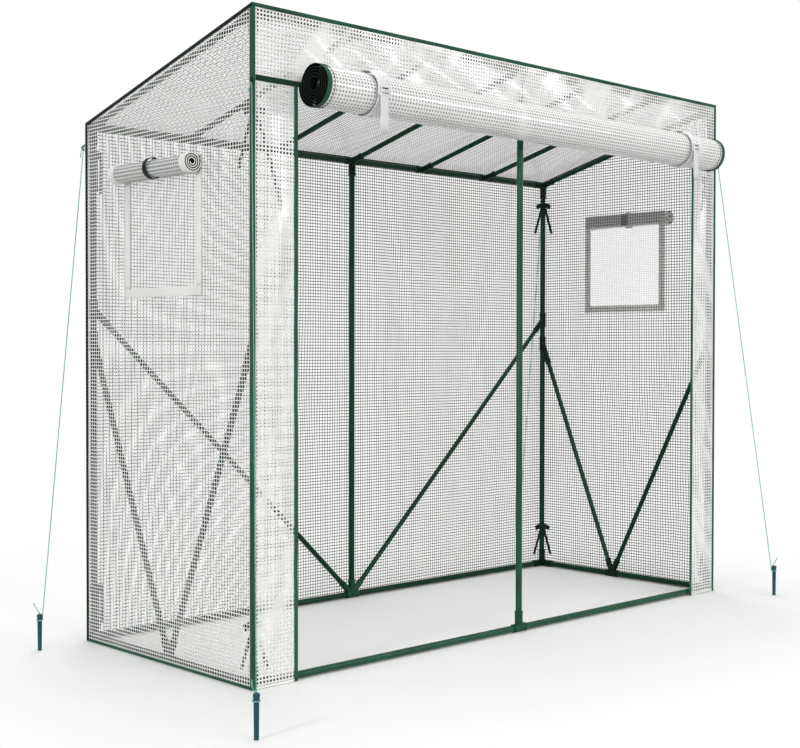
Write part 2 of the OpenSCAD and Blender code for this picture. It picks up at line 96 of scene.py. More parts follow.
# %% Shader helper
class Nodes:
    def __init__(self, tree):
        self.tree = tree

    def feed(self, socket, value):
        if isinstance(value, bpy.types.NodeSocket):
            self.tree.links.new(value, socket)
        else:
            socket.default_value = value

    def add(self, kind, out=0, inputs=None, **settings):
        node = self.tree.nodes.new(kind)
        for key, value in settings.items():
            setattr(node, key, value)
        for key, value in (inputs or {}).items():
            self.feed(node.inputs[key], value)
        return node.outputs[out]

    def math(self, operation, a, b=0.0, c=0.0):
        return self.add("ShaderNodeMath", operation=operation, inputs={0: a, 1: b, 2: c})

    def uv(self):
        return self.add("ShaderNodeUVMap", uv_map="metres")

    def place(self):
        return self.add("ShaderNodeTexCoord", out="Object")

    def split(self, vector):
        node = self.tree.nodes.new("ShaderNodeSeparateXYZ")
        self.feed(node.inputs[0], vector)
        return node.outputs

    def noise(self, vector, scale, detail=3.0, roughness=0.5, stretch=None):
        if stretch:
            vector = self.add("ShaderNodeMapping", inputs={"Vector": vector, "Scale": stretch})
        settings = {"Vector": vector, "Scale": scale, "Detail": detail, "Roughness": roughness}
        return self.add("ShaderNodeTexNoise", inputs=settings)

    def ramp(self, value, low, high, to_low=0.0, to_high=1.0):
        limits = {"Value": value, "From Min": low, "From Max": high, "To Min": to_low, "To Max": to_high}
        return self.add("ShaderNodeMapRange", interpolation_type="SMOOTHSTEP", inputs=limits)

    def mix(self, factor, a, b):
        node = self.tree.nodes.new("ShaderNodeMix")
        node.data_type = "RGBA"
        self.feed(node.inputs["Factor"], factor)
        for socket, value in ((node.inputs[6], a), (node.inputs[7], b)):
            self.feed(socket, (*value, 1.0) if isinstance(value, tuple) else value)
        return node.outputs[2]

    def threads(self, coordinate, pitch, width, soft):
        near = self.math("PINGPONG", coordinate, pitch / 2)
        return self.ramp(near, width / 2 - soft, width / 2 + soft, 1.0, 0.0)

    def shown_rays(self):
        path = self.tree.nodes.new("ShaderNodeLightPath").outputs
        total = self.math("MAXIMUM", path["Is Camera Ray"], path["Is Glossy Ray"])
        return self.math("MAXIMUM", total, path["Is Transmission Ray"])


class Shade(Nodes):
    def __init__(self, name, color, roughness, specular):
        self.mat = bpy.data.materials.new(name)
        self.mat.use_nodes = True
        super().__init__(self.mat.node_tree)
        self.bsdf = self.tree.nodes["Principled BSDF"]
        self.set("Base Color", (*color, 1.0))
        self.set("Roughness", roughness)
        self.set("Specular IOR Level", specular)

    def set(self, socket, value):
        self.feed(self.bsdf.inputs[socket], value)

    def bump(self, height, distance, strength=1.0):
        settings = {"Height": height, "Distance": distance, "Strength": strength}
        self.set("Normal", self.add("ShaderNodeBump", inputs=settings))


print("shader helper ready")

# %% [markdown]
# ## Paint and plastic
#
# The tubes are steel with a dark green powder coat: glossy, with a faint orange-peel bump. The
# fittings are moulded in nearly the same green, a little duller. Pegs are a darker blue-green.
# One flat colour would look like a toy, so slow noise moves the colour between a dark and a light
# tone, and finer noise moves the roughness. The paint is one green, but it comes in a shaded and
# a lit copy. The front centre post, the front base tube and the centre posts' foot fittings stand
# in the open and get the lit copy, which is painted light. The other tubes and fittings get the
# darker shaded copy, which is painted shade.


# %% Solid materials
CLOUD_SCALE = 9.0
CLOUD_EDGES = (0.35, 0.65)
WEAR_SCALE = 60.0
WEAR_EDGES = (0.3, 0.7)
WEAR_RANGE = (0.8, 1.25)
PEEL_SCALE = 420.0


def painted(name, dark, light, roughness, peel, gloss):
    shade = Shade(name, dark, roughness, gloss)
    at = shade.place()
    cloud = shade.ramp(shade.noise(at, CLOUD_SCALE), *CLOUD_EDGES)
    shade.set("Base Color", shade.mix(cloud, dark, light))
    worn = shade.noise(at, WEAR_SCALE, detail=4.0)
    rough = [roughness * share for share in WEAR_RANGE]
    shade.set("Roughness", shade.ramp(worn, *WEAR_EDGES, *rough))
    shade.bump(shade.noise(at, PEEL_SCALE, detail=2.0), peel)
    return shade.mat


# Each paint comes twice: a darker copy with painted shade for the tubes and fittings further in, and a
# lighter copy with painted light for those at the front.
TUBE = painted("green_tube", (0.0010, 0.026, 0.011), (0.0014, 0.034, 0.015), 0.16, 0.0002, 0.16)
TUBE_LIT = painted(
    "green_tube_painted_light", (0.0024, 0.056, 0.026), (0.0032, 0.072, 0.033), 0.16, 0.0002, 0.24
)
FITTING = painted("green_fitting", (0.0004, 0.009, 0.003), (0.0007, 0.013, 0.005), 0.32, 0.0004, 0.13)
FITTING_LIT = painted(
    "green_fitting_painted_light", (0.0020, 0.046, 0.021), (0.0028, 0.060, 0.027), 0.32, 0.0004, 0.20
)
PEG = painted("peg", (0.010, 0.050, 0.072), (0.014, 0.066, 0.090), 0.45, 0.0006, 0.22)
BUCKLE = painted("white_plastic", (0.70, 0.70, 0.71), (0.78, 0.78, 0.79), 0.35, 0.0003, 0.30)
print("solid materials:", TUBE.name, FITTING.name, PEG.name, BUCKLE.name)

# %% [markdown]
# ## Film with a white grid
#
# The cover is clear film laid over a net of white threads about 10 mm apart. Threads are nearly
# opaque, the cells between them are clear with a milky haze that comes and goes. Every thread
# could be modelled, at the cost of millions of faces. Instead the grid is drawn in the sheet's
# own metres, so it follows every fold and every turn of a roll. On the front the haze runs in
# slanting streaks, as the folds do. The front gets a whiter, milkier copy of the film, which is
# partly real haze and partly painted glare of the lit front. The inner face of the film is darker,
# which is painted shade. The rolled film has darker cells and greyer threads: painted shade of the
# turns inside.


# %% Film material
GRID_PITCH = (0.0105, 0.0100)
THREAD_SOFT = 0.0005
HAZE_EDGE = 0.22
FILM_ROUGH = 0.25
FILM_GLOSS = 0.6
GRID_BUMP = (0.0006, 0.7)
COAT = 0.9
COAT_ROUGH = 0.12
MILK = (0.92, 0.92, 0.90)


def film(
    name, thread_w, thread_color, cell_color, haze, thread_alpha,
    slant=0.0, stretch=0.5, often=0.45, size=7.0,
):
    shade = Shade(name, cell_color, FILM_ROUGH, FILM_GLOSS)
    uv = shade.uv()
    u, v, _ = shade.split(uv)
    along = shade.threads(u, GRID_PITCH[0], thread_w, THREAD_SOFT)
    across = shade.threads(v, GRID_PITCH[1], thread_w, THREAD_SOFT)
    grid = shade.math("MAXIMUM", along, across)
    knots = shade.math("MULTIPLY", along, across)
    turned = shade.add("ShaderNodeMapping", inputs={"Vector": uv, "Rotation": (0.0, 0.0, slant)})
    drift = shade.noise(turned, size, detail=2.0, stretch=(1.0, stretch, 1.0))
    milk = shade.ramp(drift, often, often + HAZE_EDGE)
    cells = shade.ramp(drift, often, often + HAZE_EDGE, *haze)
    shade.set("Base Color", shade.mix(grid, shade.mix(milk, cell_color, MILK), thread_color))
    shade.set("Alpha", shade.add("ShaderNodeMapRange", inputs={"Value": grid, 3: cells, 4: thread_alpha}))
    shade.bump(shade.math("ADD", grid, knots), *GRID_BUMP)
    shade.set("Coat Weight", COAT)
    shade.set("Coat Roughness", COAT_ROUGH)
    return shade.mat


THREAD = (0.82, 0.82, 0.80)
CLEAR = (0.76, 0.77, 0.75)
# Near-black threads on the inner face: painted shade, for the less lit inside.
INNER_THREAD_SHADE, INNER_CLEAR = (0.07, 0.075, 0.07), (0.90, 0.90, 0.88)
# Dark cells in the rolled film, and greyer threads with near-black cells in the flaps: painted shade of
# the turns inside.
ROLL_THREAD, ROLL_CELL_SHADE = (0.83, 0.83, 0.81), (0.24, 0.25, 0.24)
FLAP_THREAD_SHADE, FLAP_CELL_SHADE = (0.56, 0.57, 0.55), (0.07, 0.08, 0.075)
# The front copy: wider threads and slanting milky streaks, partly real haze and partly painted glare on
# the lit folds.
HAZE_AND_GLARE_STREAKS = {"slant": 0.7, "stretch": 0.18, "often": 0.45, "size": 13.0}
FILM_FRONT_LIT = film("film_front_haze_and_glare", 0.0044, THREAD, CLEAR, (0.03, 0.80), 0.98, **HAZE_AND_GLARE_STREAKS)
FILM_OUT = film("film_outside", 0.0027, THREAD, CLEAR, (0.00, 0.06), 0.97, often=0.50)
# The inside copy of the film carries painted shade.
FILM_IN_SHADED = film("film_inside_painted_shade", 0.0019, INNER_THREAD_SHADE, INNER_CLEAR, (0.00, 0.03), 0.97)
FILM_ROLL_SHADED = film("film_roll_painted_shade", 0.0050, ROLL_THREAD, ROLL_CELL_SHADE, (0.90, 0.98), 1.0, often=0.56)
FILM_FLAP_SHADED = film("film_flap_painted_shade", 0.0042, FLAP_THREAD_SHADE, FLAP_CELL_SHADE, (0.95, 0.99), 1.0, often=0.74)
print("film materials: front, outside, inside, roll, flap")

# %% [markdown]
# ## Woven tape and webbing
#
# Binding tape and webbing share one weave: fine ribs across the tape and a slow change of shade
# along it. The ribs are too fine to model, so they are a bump and a darker tone. The insect screen
# is a pale net, half open, and is drawn the way the film's grid is.


# %% Woven materials
RIB_SHARE = 0.55
RIB_SOFT = 0.2
RIB_DARK = 0.35
SLOW_SCALE = 7.0
WEAVE_GLOSS = 0.14
WEAVE_BUMP = (0.0005, 0.6)
NET_ROUGH = 0.7
NET_GLOSS = 0.2
NET_SOFT = 0.06
NET_BUMP = (0.0003, 0.5)


def woven(name, dark, light, rib, roughness=0.75, sheen=0.06):
    shade = Shade(name, dark, roughness, WEAVE_GLOSS)
    x, y, z = shade.split(shade.place())
    warp = shade.threads(shade.math("ADD", x, y), rib, rib * RIB_SHARE, rib * RIB_SOFT)
    weft = shade.threads(z, rib, rib * RIB_SHARE, rib * RIB_SOFT)
    weave = shade.math("MULTIPLY", warp, weft)
    slow = shade.ramp(shade.noise(shade.place(), SLOW_SCALE, detail=2.0), *CLOUD_EDGES)
    body = shade.mix(slow, dark, light)
    shade.set("Base Color", shade.mix(shade.math("MULTIPLY", weave, RIB_DARK), body, dark))
    shade.set("Sheen Weight", sheen)
    shade.bump(weave, *WEAVE_BUMP)
    return shade.mat


def screen(name, cell_color, thread_color, pitch, thread_w, alphas):
    shade = Shade(name, cell_color, NET_ROUGH, NET_GLOSS)
    u, v, _ = shade.split(shade.uv())
    along = shade.threads(u, pitch, thread_w, pitch * NET_SOFT)
    across = shade.threads(v, pitch, thread_w, pitch * NET_SOFT)
    grid = shade.math("MAXIMUM", along, across)
    shade.set("Base Color", shade.mix(grid, cell_color, thread_color))
    shade.set("Alpha", shade.ramp(grid, 0.0, 1.0, *alphas))
    shade.bump(grid, *NET_BUMP)
    return shade.mat


# One green tape in three copies: the plain one, a darker one and a near-black one. The two dark copies
# are painted shade, by how much light each place gets.
TAPE = woven("green_tape", (0.014, 0.066, 0.038), (0.022, 0.100, 0.058), 0.0018)
TAPE_HALF_SHADE = woven("green_tape_painted_half_shade", (0.004, 0.026, 0.014), (0.007, 0.040, 0.022), 0.0018)
TAPE_SHADE = woven("green_tape_shade", (0.002, 0.008, 0.004), (0.003, 0.013, 0.007), 0.0018)
ROLL_GAP_SHADE = woven("roll_gap_painted_shade", (0.003, 0.005, 0.004), (0.004, 0.007, 0.006), 0.0018, sheen=0.0)
WEBBING = woven("white_webbing", (0.72, 0.72, 0.73), (0.80, 0.80, 0.81), 0.0016)
WHITE_TAPE = woven("white_tape", (0.80, 0.80, 0.77), (0.88, 0.88, 0.85), 0.0018)
DARK_WEBBING = woven("dark_webbing", (0.004, 0.014, 0.009), (0.007, 0.022, 0.014), 0.0014)
ROPE = woven("guy_rope", (0.14, 0.46, 0.35), (0.24, 0.60, 0.47), 0.0011, sheen=0.3)
SCREEN = screen("insect_screen", (0.92, 0.92, 0.90), (0.74, 0.75, 0.74), 0.0080, 0.0020, (0.22, 0.56))
print("woven materials ready")

# %% [markdown]
# ## Dressing the CAD nodes
#
# Tubes, fittings and other hard pieces keep their CAD shape and only change material. A node that
# gets a soft piece later is replaced by it. One table from slot to material does for all of them.

# %% Materials on the nodes
BY_SLOT = {
    "green_tube": TUBE,
    "green_fitting": FITTING,
    "film": FILM_OUT,
    "green_tape": TAPE,
    "white_webbing": WEBBING,
    "white_plastic": BUCKLE,
    "white_tape": WHITE_TAPE,
    "insect_screen": SCREEN,
    "dark_webbing": DARK_WEBBING,
    "guy_rope": ROPE,
    "peg": PEG,
}


def dress(obj, material):
    obj.data.materials.clear()
    obj.data.materials.append(material)


for subpart in frame["record"]["subparts"]:
    dress(frame["nodes"][subpart["node"]], BY_SLOT[subpart["material_slot"]])
# The pieces in the open doorway get the lit copies: painted light.
for name in ("post_front_centre", "base_front"):
    dress(frame["nodes"][name], TUBE_LIT)
dress(frame["nodes"]["fittings_foot_centre"], FITTING_LIT)

# %% [markdown]
# ## From grids of points to cloth
#
# Every soft piece is made of grids: rows of points, with the distance along the cloth kept as UV
# coordinates in metres. A `Cloth` collects such grids, with a material number for each, and makes
# one mesh of them. `piece` puts the mesh in the scene with its materials, its body and the node
# that it stands for. Cloth can also be simulated; points from formulas stay on the frame exactly.


# %% Mesh helpers
class Cloth:
    def __init__(self):
        self.points, self.faces, self.uvs, self.numbers = [], [], [], []

    def grid(self, rows, uvs, closed=False, caps=False, keep=None, number=0):
        first = len(self.points)
        n = len(rows[0])
        self.points.extend(tuple(p) for row in rows for p in row)
        flat = [c for row in uvs for c in row]
        for i in range(len(rows) - 1):
            for j in range(n if closed else n - 1):
                if keep and not keep(i, j):
                    continue
                k = (j + 1) % n
                self.face((i * n + j, i * n + k, (i + 1) * n + k, (i + 1) * n + j), first, flat, number)
        if caps:
            self.face(tuple(reversed(range(n))), first, flat, number)
            last = (len(rows) - 1) * n
            self.face(tuple(range(last, last + n)), first, flat, number)
        return self

    def face(self, corners, first, flat, number):
        self.faces.append([first + c for c in corners])
        self.uvs.extend(flat[c] for c in corners)
        self.numbers.append(number)

    def mesh(self, name, outward=None):
        mesh = bpy.data.meshes.new(name)
        mesh.from_pydata(self.points, [], self.faces)
        layer = mesh.uv_layers.new(name="metres")
        for loop, uv in zip(layer.data, self.uvs):
            loop.uv = uv
        for polygon, number in zip(mesh.polygons, self.numbers):
            polygon.use_smooth = True
            polygon.material_index = number
        mesh.update()
        if outward and sum(p.normal.dot(Vector(outward)) for p in mesh.polygons) < 0:
            mesh.flip_normals()
        return mesh


def piece(name, cloth, materials, slot, replaces=(), outward=None):
    obj = bpy.data.objects.new(name, cloth.mesh(name, outward))
    scene.collection.objects.link(obj)
    for material in materials:
        obj.data.materials.append(material)
    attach(obj, "root")
    if replaces:
        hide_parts(*replaces)
    return obj


def stations(breaks, step):
    out = [breaks[0]]
    for a, b in zip(breaks, breaks[1:]):
        count = max(1, round((b - a) / step))
        out.extend(a + (b - a) * (i + 1) / count for i in range(count))
    return out


print("mesh helpers ready")

# %% [markdown]
# ## Folds in the film
#
# Film that was folded in a box and is pulled over a frame keeps long shallow folds. A fold is a
# line on the panel with a width and a height; the film stands out along it and dies away at both
# ends. Slow noise adds the soft waves between. Near the edges everything fades, because there the
# film is sewn to its tape.


# %% Folds
SEWN = 0.013
FOLD_OVERRUN = 0.2
SLOW_WAVES = (5.0, 3.5)
QUICK_WAVES = (14.0, 9.0)
QUICK_SEED = 7.0
QUICK_SHARE = 0.35


def fold_height(folds, u, v):
    total = 0.0
    for (u0, v0), (u1, v1), width, height in folds:
        du, dv = u1 - u0, v1 - v0
        length = math.hypot(du, dv)
        t = ((u - u0) * du + (v - v0) * dv) / (length * length)
        if not -FOLD_OVERRUN < t < 1.0 + FOLD_OVERRUN:
            continue
        side = ((u - u0) * dv - (v - v0) * du) / length
        fade = max(0.0, 1.0 - (2.0 * t - 1.0) ** 2)
        total += height * math.exp(-((side / width) ** 2)) * fade
    return total


def edge_fade(value, low, high, reach):
    return min(1.0, max(0.0, (min(value - low, high - value) - SEWN) / reach))


def panel_rows(us, vs, place, folds, wave, reach, seed):
    rows, uvs = [], []
    for v in vs:
        row, uv_row = [], []
        for u in us:
            fade = edge_fade(u, us[0], us[-1], reach) * edge_fade(v, vs[0], vs[-1], reach)
            slow = Vector((u * SLOW_WAVES[0], v * SLOW_WAVES[1], seed))
            quick = Vector((u * QUICK_WAVES[0], v * QUICK_WAVES[1], seed + QUICK_SEED))
            soft = noise.noise(slow) * wave
            soft += noise.noise(quick) * wave * QUICK_SHARE
            row.append(place(u, v, fade * (fold_height(folds, u, v) + soft)))
            uv_row.append((u, v))
        rows.append(row)
        uvs.append(uv_row)
    return rows, uvs


print("folds ready")

# %% [markdown]
# A panel of film has two faces, so that the outside can be bright and the inside darker, with
# painted shade on the inner face's threads. The sheet is made once, facing outwards, and a thin
# Solidify gives it the inner face. A single face could carry only one material.


# %% Panel helper
FILM_T = 0.0005


def panel(name, cloth, outward, outside, node):
    obj = piece(name, cloth, (outside, FILM_IN_SHADED), "film", (node,), outward)
    modifier = obj.modifiers.new("inner_face", "SOLIDIFY")
    modifier.thickness = FILM_T
    modifier.offset = -1.0
    modifier.material_offset = 1
    modifier.use_rim = False
    return obj


print("panel helper ready")

# %% [markdown]
# ## The cover's panels
#
# Roof, back, two sides, the fascia over the doorway and a strip on each side of it. Each panel
# lies where its CAD solid lies, `SKIN` inside the outline. The sides have a hole for the window.

# %% Sizes of the cover
HALF_W = 1.0
HALF_D = 0.39
FRONT_H = 1.68
BACK_H = 1.48
SLOPE = math.atan2(FRONT_H - BACK_H, 2 * HALF_D)
FASCIA_LOW = 1.494
STRIP_EDGE = 0.857
POST_X = 0.98465
POST_Y = 0.37465
WINDOW_Y = 0.155
WINDOW_LOW = 1.0
WINDOW_HIGH = 1.29
SKIN = 0.0005
STEP = 0.012
FILM_FOOT = 0.001
EAVE_GAP = 0.002
SIDES = ((-1, "left"), (1, "right"))
CORNERS = [(side, end) for side in (-1, 1) for end in (-1, 1)]
ALONG_X = (1, 0, 0)
ALONG_Y = (0, 1, 0)
UP = (0, 0, 1)
DOWN = (0, 0, -1)
FORWARD = (0, -1, 0)


def roof_z(y):
    return FRONT_H - (y + HALF_D) * math.tan(SLOPE)


print("roof slope", round(math.degrees(SLOPE), 2), "degrees")

# %% [markdown]
# The front of the cover faces the light. Its fascia carries the broad diagonal folds, the strips
# have a few upright ones.

# %% Front panels
FRONT_Y = -HALF_D + SKIN


def front_place(u, v, out):
    return (u, FRONT_Y - out, v)


FASCIA_FOLDS = (
    ((-0.95, 1.66), (-0.70, 1.50), 0.030, 0.009),
    ((-0.80, 1.67), (-0.45, 1.51), 0.035, 0.010),
    ((-0.52, 1.66), (-0.15, 1.52), 0.030, 0.009),
    ((-0.20, 1.67), (0.20, 1.51), 0.040, 0.010),
    ((0.12, 1.66), (0.48, 1.52), 0.030, 0.008),
    ((0.45, 1.67), (0.75, 1.51), 0.035, 0.009),
    ((0.70, 1.65), (0.95, 1.52), 0.030, 0.008),
)
us = stations((-HALF_W, HALF_W), STEP)
vs = stations((FASCIA_LOW, FRONT_H - EAVE_GAP), STEP)
rows, uvs = panel_rows(us, vs, front_place, FASCIA_FOLDS, wave=0.004, reach=0.03, seed=1.0)
fascia = panel("fascia_film", Cloth().grid(rows, uvs), FORWARD, FILM_FRONT_LIT, "film_fascia")

STRIP_FOLDS = (
    ((0.05, 1.45), (0.09, 0.95), 0.016, 0.006),
    ((0.10, 1.20), (0.04, 0.70), 0.014, 0.005),
    ((0.03, 0.80), (0.11, 0.35), 0.018, 0.007),
    ((0.09, 0.50), (0.05, 0.04), 0.014, 0.005),
)
for side, word in SIDES:
    def strip_place(u, v, out, side=side):
        return (side * (HALF_W - u), FRONT_Y - out, v)

    us = stations((0.0, HALF_W - STRIP_EDGE), STEP)
    vs = stations((FILM_FOOT, FASCIA_LOW), STEP)
    rows, uvs = panel_rows(us, vs, strip_place, STRIP_FOLDS, wave=0.003, reach=0.02, seed=3.0 + side)
    cloth = Cloth().grid(rows, uvs)
    strip = panel(f"strip_film_{word}", cloth, FORWARD, FILM_FRONT_LIT, f"film_strip_{word}")
print("front panels: fascia and two strips")

# %% [markdown]
# Each side is a trapezium under the sloping roof. Its rows are level up to `LEVEL_TOP` and are
# spread above it, up to the roof line. Breaks in the stations follow the window, and the cells
# inside it are left out. Near the window the film lies calm, because the border holds it.

# %% Side panels
SIDE_FOLDS = (
    ((-0.30, 1.50), (-0.20, 0.75), 0.030, 0.007),
    ((0.28, 1.35), (0.22, 0.70), 0.030, 0.007),
    ((-0.25, 0.90), (0.05, 0.30), 0.040, 0.008),
    ((0.20, 0.95), (-0.05, 0.45), 0.030, 0.006),
    ((0.32, 0.60), (0.12, 0.10), 0.030, 0.007),
    ((-0.34, 0.45), (-0.15, 0.06), 0.030, 0.007),
)
LEVEL_TOP = 1.40
SIDE_TOP = 1.679
ROOF_GAP = 0.001
CALM_Y = 0.185
CALM_LOW = 0.970
CALM_HIGH = 1.340
CALM_REACH = 0.04
side_us = stations((-HALF_D, -WINDOW_Y, WINDOW_Y, HALF_D), STEP)
side_vs = stations((FILM_FOOT, WINDOW_LOW, WINDOW_HIGH, LEVEL_TOP, SIDE_TOP), STEP)


def from_window(u, v):
    beside = max(abs(u) - CALM_Y, 0.0)
    above = max(v - CALM_HIGH, CALM_LOW - v, 0.0)
    return math.hypot(beside, above)


def keep_side(i, j):
    u = (side_us[j] + side_us[j + 1]) / 2
    v = (side_vs[i] + side_vs[i + 1]) / 2
    in_window = abs(u) < WINDOW_Y and WINDOW_LOW < v < WINDOW_HIGH
    return not in_window


def under_roof(u, v):
    if v <= LEVEL_TOP:
        return v
    share = (v - LEVEL_TOP) / (SIDE_TOP - LEVEL_TOP)
    return LEVEL_TOP + share * (roof_z(u) - ROOF_GAP - LEVEL_TOP)


for side, word in SIDES:
    def side_place(u, v, out, side=side):
        calm = min(1.0, from_window(u, v) / CALM_REACH)
        return (side * (HALF_W - SKIN + out * calm), u, under_roof(u, v))

    rows, uvs = panel_rows(
        side_us, side_vs, side_place, SIDE_FOLDS, wave=0.003, reach=0.03, seed=11.0 + side
    )
    uvs = [[(u, under_roof(u, v)) for u, v in row] for row in uvs]
    cloth = Cloth().grid(rows, uvs, keep=keep_side)
    wall = panel(f"side_film_{word}", cloth, (side, 0, 0), FILM_OUT, f"film_{word}")

# %% [markdown]
# The roof lies on seven rafters and sags a little between them. The back hangs from the low eave.

# %% Roof and back
RAFTER_BAYS = 6
RAFTER_GAP = 2 * POST_X / RAFTER_BAYS
ROOF_SAG = 0.005
SAG_REACH = 0.06
ROOF_WAVES = 0.5
WIDE_STEP = 0.018
ROOF_STEP = 0.02
us = stations((-HALF_W, HALF_W), WIDE_STEP)
vs = stations((-HALF_D, HALF_D), ROOF_STEP)


def roof_place(u, v, out):
    sag = ROOF_SAG * math.sin(math.pi * u / RAFTER_GAP) ** 2
    sag *= edge_fade(v, -HALF_D, HALF_D, SAG_REACH)
    return (u, v, roof_z(v) - SKIN - sag + max(0.0, out) * ROOF_WAVES)


rows, uvs = panel_rows(us, vs, roof_place, (), wave=0.002, reach=0.05, seed=21.0)
uvs = [[(u, v / math.cos(SLOPE)) for u, v in row] for row in uvs]
roof = panel("roof_film", Cloth().grid(rows, uvs), UP, FILM_OUT, "film_roof")

BACK_FOLDS = (
    ((-0.80, 1.40), (-0.55, 0.60), 0.045, 0.007),
    ((-0.35, 1.30), (-0.10, 0.40), 0.045, 0.008),
    ((0.15, 1.40), (0.30, 0.70), 0.040, 0.007),
    ((0.75, 1.35), (0.50, 0.45), 0.045, 0.008),
    ((0.60, 0.60), (0.90, 0.10), 0.045, 0.007),
    ((-0.70, 0.55), (-0.95, 0.10), 0.040, 0.007),
)


def back_place(u, v, out):
    return (u, HALF_D - SKIN + out, v)


vs = stations((FILM_FOOT, BACK_H - EAVE_GAP), WIDE_STEP)
rows, uvs = panel_rows(us, vs, back_place, BACK_FOLDS, wave=0.003, reach=0.03, seed=31.0)
back = panel("back_film", Cloth().grid(rows, uvs), ALONG_Y, FILM_OUT, "film_back")
print("roof and back in place")

# %% [markdown]
# ## Rolled-up film
#
# The door and both window flaps are rolled up. A plain cylinder would show no layers at its ends,
# so a roll is one sheet on a spiral. It leaves the wall at the back of the roll, goes down and
# round the front, and winds inwards. Lumps and the pinch of each strap change its radius along
# the length. A thicker binding tape follows the same spiral at the ends: its edges show as rings.
# The binding's inner faces and inner turns are near black, which is painted shade for the gaps
# between the rings.


# %% Roll helper
LUMPS_ALONG = 9.0
LUMPS_AROUND = 0.9
BINDING_OUT = 0.7
BINDING_IN = 0.3


def spiral(turns, r_outer, r_inner, per_turn):
    count = round(turns * per_turn)
    out = []
    walked = 0.0
    for i in range(count + 1):
        t = i / count
        radius = r_outer + (r_inner - r_outer) * t
        out.append((2 * math.pi * turns * t, radius, walked))
        walked += radius * 2 * math.pi * turns / count
    return out


def squeezed(s, angle, radius, lump, pinches, seed):
    squeeze = sum(depth * math.exp(-(((s - at) / width) ** 2)) for at, width, depth in pinches)
    y, z = math.cos(angle) * LUMPS_AROUND, math.sin(angle) * LUMPS_AROUND
    return radius * (1.0 - squeeze + noise.noise(Vector((s * LUMPS_ALONG, y, z + seed))) * lump)


def roll_rows(lengths, turns, place, shape, lift=0.0):
    rows = [[place(s, a, squeezed(s, a, r, *shape) + lift) for a, r, _ in turns] for s in lengths]
    uvs = [[(s, walked) for _, _, walked in turns] for s in lengths]
    return rows, uvs


# Material 0 goes on the outer band, material 1 on the inner faces and turns, material 2 on the cut ends.
# The rolls pass painted shade as material 1.
def binding(name, lengths, shown, turns, place, shape, thick, materials, slot, per_turn):
    outer = roll_rows(lengths, turns, place, shape, thick * BINDING_OUT)
    inner = roll_rows(lengths, turns, place, shape, -thick * BINDING_IN)
    cloth = Cloth()
    for rows, uvs in (outer, inner):
        outside = rows is outer[0]
        wanted = shown if outside else slice(None)
        first_turn = [[row[: per_turn + 1] for row in grid[wanted]] for grid in (rows, uvs)]
        within = [[row[per_turn:] for row in grid] for grid in (rows, uvs)]
        cloth.grid(*first_turn, number=0 if outside else 1)
        cloth.grid(*within, number=1)
    for end in (0, -1):
        edge = [outer[0][end], inner[0][end]], [outer[1][end], inner[1][end]]
        cloth.grid(*edge, number=2)
    return piece(name, cloth, materials, slot)


print("roll helper ready")

# %% [markdown]
# The door's roll rests against the header. Two straps pinch it. Its binding is green tape; on the
# outside it shows as a green band, a little narrower than the turns of tape inside the roll. The
# binding's cut ends get the near-black copy of the tape, which is painted shade.

# %% Door roll
DOOR_X = (-0.856, 0.880)
DOOR_INSET = 0.004
DOOR_AXIS_Y = -0.4513
DOOR_AXIS_Z = 1.492
DOOR_R = 0.0565
DOOR_CORE_R = 0.014
DOOR_TURNS = 5.5
DOOR_PER_TURN = 36
DOOR_LUMP = 0.030
DOOR_SEED = 5.0
STRAP_X = (-0.676, 0.700)
PINCH = (0.016, 0.030)
BULGE = (0.022, -0.018)
BULGE_AT = 0.045
BINDING_W = 0.024
BINDING_T = 0.0022
BINDING_STEP = 0.005
BAND_ROWS = 4
# Tape outside, near-black painted shade on the inner faces and turns, and the near-black tape copy on the
# cut ends: painted shade.
GREEN_RINGS = (TAPE, ROLL_GAP_SHADE, TAPE_SHADE)


def door_place(s, angle, r):
    return (s, DOOR_AXIS_Y + r * math.cos(angle), DOOR_AXIS_Z - r * math.sin(angle))


door_turns = spiral(DOOR_TURNS, DOOR_R, DOOR_CORE_R, DOOR_PER_TURN)
door_pinches = [(x, *PINCH) for x in STRAP_X] + [(x - BULGE_AT, *BULGE) for x in STRAP_X]
door_shape = (DOOR_LUMP, door_pinches, DOOR_SEED)
lengths = stations((DOOR_X[0] + DOOR_INSET, DOOR_X[1] - DOOR_INSET), STEP)
cloth = Cloth().grid(*roll_rows(lengths, door_turns, door_place, door_shape))
door_roll = piece("door_roll_film", cloth, (FILM_ROLL_SHADED,), "film", ("door_roll",))
door_ends = {
    "left": (DOOR_X[0], DOOR_X[0] + BINDING_W, slice(0, BAND_ROWS)),
    "right": (DOOR_X[1] - BINDING_W, DOOR_X[1], slice(-BAND_ROWS, None)),
}
door_args = (door_turns, door_place, door_shape, BINDING_T, GREEN_RINGS, "green_tape", DOOR_PER_TURN)
for word, (first, last, shown) in door_ends.items():
    lengths = stations((first, last), BINDING_STEP)
    binding(f"door_binding_{word}", lengths, shown, *door_args)

# %% [markdown]
# The window flaps are the same thing, smaller and bound in white, one on each side. Their film is
# the darker flap copy, with greyer threads and near-black cells as painted shade.

# %% Window flap rolls
FLAP_X = 1.0301
FLAP_Z = 1.3125
FLAP_R = 0.0262
FLAP_CORE_R = 0.005
FLAP_HALF = 0.18
FLAP_INSET = 0.003
FLAP_TURNS = 3.5
FLAP_PER_TURN = 28
FLAP_STEP = 0.009
FLAP_LUMP = 0.035
FLAP_SEED = 9.0
FLAP_PINCH = (0.0, 0.014, 0.03)
FLAP_BINDING_T = 0.0030
FLAP_BINDING_STEP = 0.006
